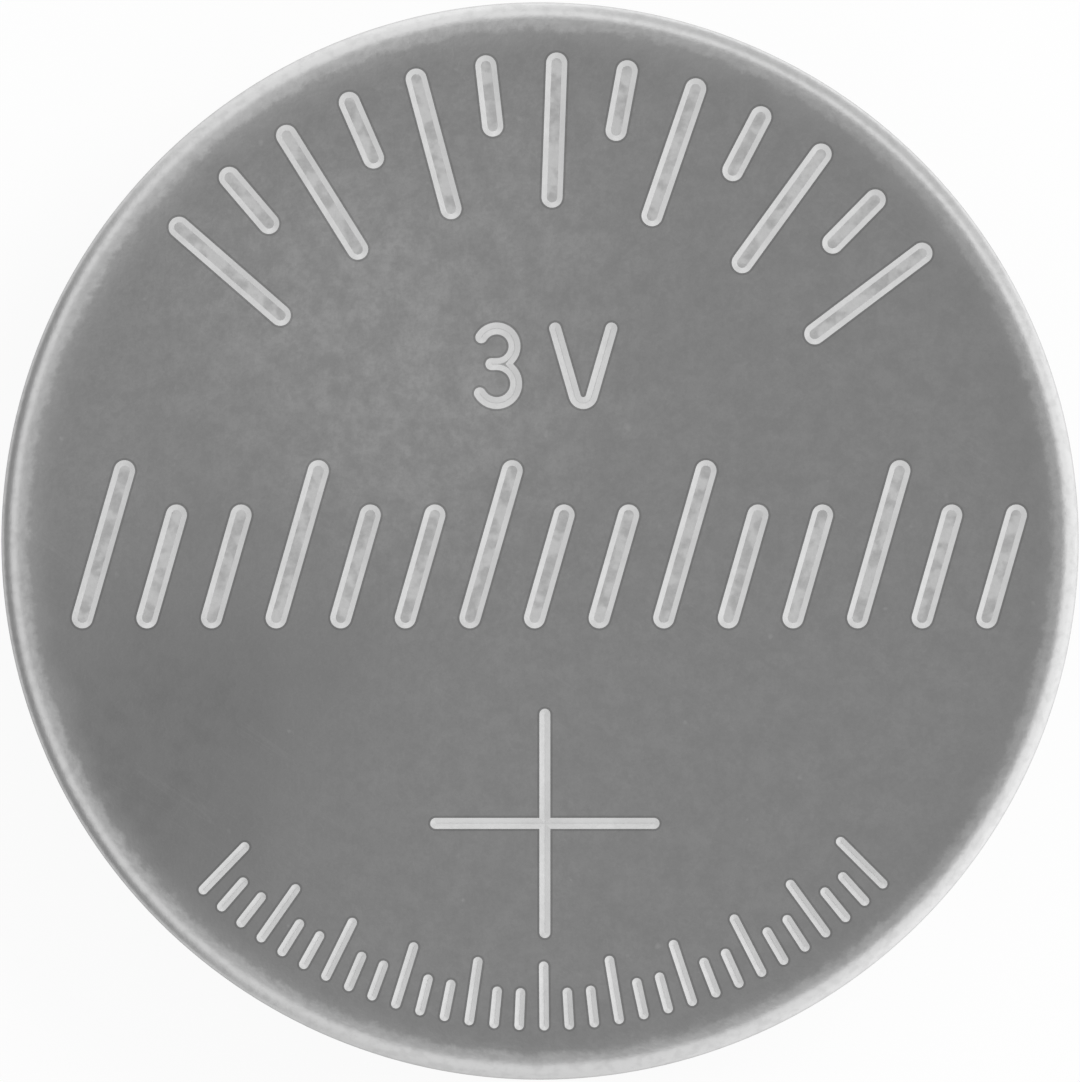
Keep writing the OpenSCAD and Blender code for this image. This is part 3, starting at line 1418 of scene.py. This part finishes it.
@dataclass
class Gasket:
    """The moulded ring between can and cap: nipped by the crimp, up the wall, and back inside the skirt."""

    can: PositiveCan
    cap: NegativeCap
    gap: float = 0.01
    lip_t: float = 0.25
    lip_h: float = 0.80
    edge_rise: float = 0.08
    bulge: float = 0.03
    finish: MilkyPolymer = field(default_factory=MilkyPolymer)

    def draw_edge(self, pen: Pen) -> None:
        """Draws the open edge, from the crimped lip to the cap, and the slope up to the cap's step.

        Args:
            pen: The pen, at the end of the crimped lip.
        """
        cap = self.cap
        step = (cap.skirt_r - cap.heel_r - cap.flange_w, cap.flange_z - cap.step_r)
        across, up = cosine_of(cap.rise_a), sine_of(cap.rise_a)
        top = (step[0] - (cap.step_r - self.gap) * up, step[1] + (cap.step_r - self.gap) * across)
        slope = (top[1] - pen.tip.co.z - self.edge_rise) / up
        pen.bow((top[0] - slope * across, top[1] - slope * up), self.bulge)
        pen.heading = cap.rise_a
        pen.straight(slope)

    def section(self) -> BMesh:
        """Draws the closed section.

        Returns:
            The mesh that holds it.
        """
        can, cap = self.can, self.cap
        inside = can.sheet + self.gap
        lip_out = cap.skirt_r - cap.sheet - self.gap
        lip_in = lip_out - self.lip_t
        top = can.height - inside
        lip_z = can.height - can.sheet - self.lip_h + self.lip_t / 2
        bm = bmesh.new()
        pen = Pen(bm, Plane.SECTION, (lip_in, top))
        pen.straight(can.radius - can.shoulder_w - lip_in)
        can.draw_side(pen, inside)
        self.draw_edge(pen)
        pen.bend(cap.step_r - self.gap, -cap.rise_a)
        pen.straight(cap.flange_w)
        pen.bend(cap.heel_r + self.gap, 90)
        pen.straight(cap.skirt_z - cap.flange_z - cap.heel_r + self.gap)
        pen.turn(90).straight(cap.sheet + 2 * self.gap)
        pen.turn(90).straight(cap.skirt_z + self.gap - lip_z)
        pen.bend(self.lip_t / 2, -180)
        pen.straight(top - lip_z)
        bmesh.ops.remove_doubles(bm, verts=bm.verts, dist=WELD)
        return bm

    def build(self, effects: Effects) -> bpy.types.Object:
        """Builds and dresses the gasket.

        Args:
            effects: The effects that the finishes share.

        Returns:
            The finished piece.
        """
        bm = self.section()
        turn_about_axis(bm)
        bmesh.ops.recalc_face_normals(bm, faces=bm.faces)
        shade_smooth(bm)
        ring = loose_object("moulded_gasket", bm, [self.finish.material(effects)])
        return finish_piece(ring, "gasket")


@dataclass
class InnerStack:
    """The sealed pieces inside, which keep their CAD shapes."""

    lithium: BareLithium = field(default_factory=BareLithium)
    fleece: Fleece = field(default_factory=Fleece)
    mix: PressedMix = field(default_factory=PressedMix)
    grid: SatinSteel = SatinSteel("grid_steel", (0.62, 0.62, 0.60), roughness=0.35, grain_per_mm=12.0)

    def build(self, effects: Effects) -> None:
        """Dresses the nodes.

        Args:
            effects: The effects that the finishes share.
        """
        finishes = {
            "lithium_disc": self.lithium,
            "separator": self.fleece,
            "cathode_pellet": self.mix,
            "cathode_grid": self.grid,
        }
        for name, finish in finishes.items():
            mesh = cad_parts[name].data
            mesh.materials.clear()
            mesh.materials.append(finish.material(effects))
            log.info("%s: dressed", name)


@dataclass(frozen=True)
class SoftLamp:
    """A square soft box that faces the cell."""

    name: str
    azimuth: float
    elevation: float
    distance: float
    side: float
    radiance: float
    in_reflections: bool = True

    def build(self) -> None:
        """Hangs the lamp, whose power is its radiance times pi times its area."""
        light = bpy.data.lights.new(self.name, "AREA")
        light.shape = "SQUARE"
        light.size = self.side * MM
        light.energy = self.radiance * math.pi * (self.side * MM) ** 2
        lamp = bpy.data.objects.new(self.name, light)
        bpy.context.scene.collection.objects.link(lamp)
        level = cosine_of(self.elevation)
        out = Vector((
            cosine_of(self.azimuth) * level,
            sine_of(self.azimuth) * level,
            sine_of(self.elevation),
        ))
        lamp.location = out * self.distance * MM
        lamp.visible_glossy = self.in_reflections
        lamp.rotation_euler = out.to_track_quat("Z", "Y").to_euler()


@dataclass(frozen=True)
class DimSide:
    """A side of the room that sends less light.

    It has an azimuth, a cone and heights, each from edge to core, and the share of light that is missing.
    """

    azimuth: float
    cone: Pair
    share: float
    heights: Pair


@dataclass
class Studio:
    """The pale floor, the soft light round it, and the camera straight above the face."""

    face_z: float
    view_h: float = 20.0
    lens: float = 180.0
    film: float = 36.0
    near_clip_share: float = 0.05
    far_clip_share: float = 10.0
    floor_r: float = 1500.0
    floor_drop: float = 0.01
    opening_r: float = 9.3
    floor_colour: Colour = (0.92, 0.92, 0.92)
    floor_glow: float = 1.0
    glow_share_seen: float = 0.92
    reflected_levels: Pair = (0.66, 1.05)
    reflected_cosines: Pair = (-0.9, 0.6)
    near_floor: Pair = (12.6, 15.5)
    dim_sides: tuple[DimSide, ...] = (
        DimSide(187.0, cone=(63.0, 28.0), share=0.60, heights=(30.0, 11.0)),
        DimSide(57.0, cone=(42.0, 12.0), share=0.42, heights=(46.0, 20.0)),
    )
    top_level: float = 0.32
    top_cone: Pair = (10.0, 50.0)
    top_tilt: float = 7.0
    top_azimuth: float = 30.0
    side_levels: Pair = (0.74, 0.96)
    side_cosines: Pair = (-0.9, 0.9)
    bright_azimuth: float = 30.0
    haze_level: float = 0.62
    haze_azimuth: float = 130.0
    haze_cone: Pair = (16.0, 4.0)
    haze_tilt: float = 20.0
    lamps: tuple[SoftLamp, ...] = (
        SoftLamp(
            "key", azimuth=35.0, elevation=28.0, distance=160.0, side=90.0,
            radiance=7.0, in_reflections=False,
        ),
    )

    @staticmethod
    def direction(azimuth: float, tilt: float = 90.0) -> Vector:
        """The unit vector that leans that far off +Z, towards that azimuth."""
        level = sine_of(tilt)
        return Vector((level * cosine_of(azimuth), level * sine_of(azimuth), cosine_of(tilt)))

    def dimming(self, g: Graph, towards: Socket, shown: Callable[[DimSide], Socket]) -> Socket:
        """What is left of the light where the room has its dim sides.

        Args:
            g: The graph to build in.
            towards: The direction that is looked in.
            shown: Gives, from 0 to 1, how much a dim side shows there.

        Returns:
            The share of the light that is left.
        """
        left = 1.0
        for side in self.dim_sides:
            edge, core = (cosine_of(a) for a in side.cone)
            facing = self.cosine(g, towards, self.direction(side.azimuth))
            dim = g.ramp(facing, edge, core, high=side.share)
            left = g.math("SUBTRACT", left, g.math("MULTIPLY", dim, shown(side)))
        return left

    def floor(self) -> None:
        """Lays the floor, open under the cell, so that the cell's underside is lit and can be looked at."""
        bm = bmesh.new()
        pen = Pen(bm, Plane.SECTION, (self.opening_r, -self.floor_drop))
        pen.straight(self.floor_r - self.opening_r)
        turn_about_axis(bm)
        bmesh.ops.recalc_face_normals(bm, faces=bm.faces)
        bm.faces.ensure_lookup_table()
        if bm.faces[0].normal.z < 0:
            bmesh.ops.reverse_faces(bm, faces=bm.faces)
        bmesh.ops.scale(bm, vec=Vector((MM, MM, MM)), verts=bm.verts)
        loose_object("floor", bm, [self.floor_finish()])

    def floor_finish(self) -> bpy.types.Material:
        """White to the eye with some of the cell's shadow, dimmer to one side in metal, clear from below.

        Returns:
            The material.
        """
        material = bpy.data.materials.new("pale_floor")
        g = Graph(empty_tree(material))
        ray = g.node("LightPath").outputs
        reflected = g.math("MAXIMUM", ray["Is Glossy Ray"], ray["Is Transmission Ray"])
        seen_glow = g.math("MULTIPLY", ray["Is Camera Ray"], self.glow_share_seen)
        glow_share = g.math("MAXIMUM", seen_glow, reflected)
        place = g.node("TexCoord").outputs["Object"]
        out = g.node("VectorMath", {0: place}, operation="NORMALIZE").outputs[0]
        distance = g.node("VectorMath", {0: place}, operation="LENGTH").outputs["Value"]
        far = g.ramp(distance, *(radius * MM for radius in self.near_floor))
        facing = self.cosine(g, out, self.direction(self.bright_azimuth))
        sides = g.ramp(facing, *self.reflected_cosines, *self.reflected_levels)
        dimmed = g.math("MULTIPLY", sides, self.dimming(g, out, lambda side: far))
        strength = g.node("Mix", {"Factor": reflected, "A": self.floor_glow, "B": dimmed}).outputs[0]
        lit = g.node("BsdfDiffuse", {"Color": (*self.floor_colour, 1.0)}).outputs[0]
        glow = g.node("Emission", {"Strength": strength}).outputs[0]
        both = g.node("MixShader", {0: glow_share, 1: lit, 2: glow}).outputs[0]
        below = g.node("NewGeometry").outputs["Backfacing"]
        clear = g.node("BsdfTransparent").outputs[0]
        seen = g.node("MixShader", {0: below, 1: both, 2: clear}).outputs[0]
        g.node("OutputMaterial", {"Surface": seen})
        return material

    def sky_level(self, g: Graph, towards: Socket) -> Socket:
        """How bright the world is: bright all round, dim overhead but for a haze, with its dim sides.

        Args:
            g: The graph to build in.
            towards: The direction that is looked in.

        Returns:
            The level, in which 1 is white.
        """
        overhead = self.cosine(g, towards, self.direction(self.top_azimuth, self.top_tilt))
        facing = self.cosine(g, towards, self.direction(self.bright_azimuth))
        sides = g.ramp(facing, *self.side_cosines, *self.side_levels)
        near, far = (cosine_of(a) for a in self.top_cone)
        opened = g.ramp(overhead, near, far)
        gain = g.math("MULTIPLY", opened, g.math("SUBTRACT", sides, self.top_level))
        level = g.math("ADD", self.top_level, gain)
        lobe = self.direction(self.haze_azimuth, self.haze_tilt)
        edge, core = (cosine_of(a) for a in self.haze_cone)
        haze = g.ramp(self.cosine(g, towards, lobe), edge, core)
        level = g.math("MAXIMUM", level, g.math("MULTIPLY", haze, self.haze_level))
        height = g.node("SeparateXYZ", {"Vector": towards}).outputs["Z"]

        def low(side: DimSide) -> Socket:
            """How much of a dim side's height is reached."""
            return g.ramp(height, *(sine_of(a) for a in side.heights))

        return g.math("MULTIPLY", level, self.dimming(g, towards, low))

    def light(self) -> None:
        """Lights the world, which is white to the eye, and hangs the lamps."""
        world = bpy.data.worlds.new("soft_studio")
        bpy.context.scene.world = world
        g = Graph(empty_tree(world))
        level = self.sky_level(g, g.node("TexCoord").outputs["Generated"])
        eye = g.node("LightPath").outputs["Is Camera Ray"]
        strength = g.math("MAXIMUM", level, eye)
        sky = g.node("Background", {"Strength": strength, "Color": (1.0, 1.0, 1.0, 1.0)})
        g.node("OutputWorld", {"Surface": sky.outputs[0]})
        for lamp in self.lamps:
            lamp.build()

    @staticmethod
    def cosine(g: Graph, towards: Socket, axis: Vector) -> Socket:
        """The cosine of the angle between the direction that is looked in and an axis."""
        return g.node("VectorMath", {0: towards, 1: tuple(axis)}, operation="DOT_PRODUCT").outputs["Value"]

    def camera(self) -> None:
        """Sets the camera on the cell's axis, with +Y up in the picture."""
        data = bpy.data.cameras.new("camera")
        data.lens = self.lens
        data.sensor_width = self.film
        camera = bpy.data.objects.new("camera", data)
        bpy.context.scene.collection.objects.link(camera)
        distance = self.view_h * self.lens / self.film
        camera.location = (0, 0, (self.face_z + distance) * MM)
        data.clip_start = self.near_clip_share * distance * MM
        data.clip_end = self.far_clip_share * self.floor_r * MM
        bpy.context.scene.camera = camera

    def build(self) -> None:
        """Builds the studio."""
        self.floor()
        self.light()
        self.camera()
        bpy.context.scene.view_settings.view_transform = "Standard"
        log.info("studio: %d lamps", len(self.lamps))


def millimetres(corner: Vector) -> Vector:
    """A corner of a CAD box, in millimetres."""
    return corner / MM


def main() -> None:
    """Builds the pieces in order, from the can inwards, and then the studio."""
    logging.basicConfig(level=logging.INFO, format="%(name)s %(message)s")
    effects = Effects()
    can_top = millimetres(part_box("positive_can")[1])
    cap_top = millimetres(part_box("negative_cap")[1])
    can = PositiveCan(radius=can_top.x, height=can_top.z)
    flange_z = can.crimp_z - (can.crimp_r - can.sheet) * sine_of(can.crimp_a) + NIP
    cap = NegativeCap(skirt_r=cap_top.x, skirt_z=cap_top.z, flange_z=flange_z)
    gasket = Gasket(can=can, cap=cap)
    for part in (can, cap, gasket, InnerStack()):
        part.build(effects)
    Studio(face_z=can.height).build()


if __name__ == "__main__":
    main()
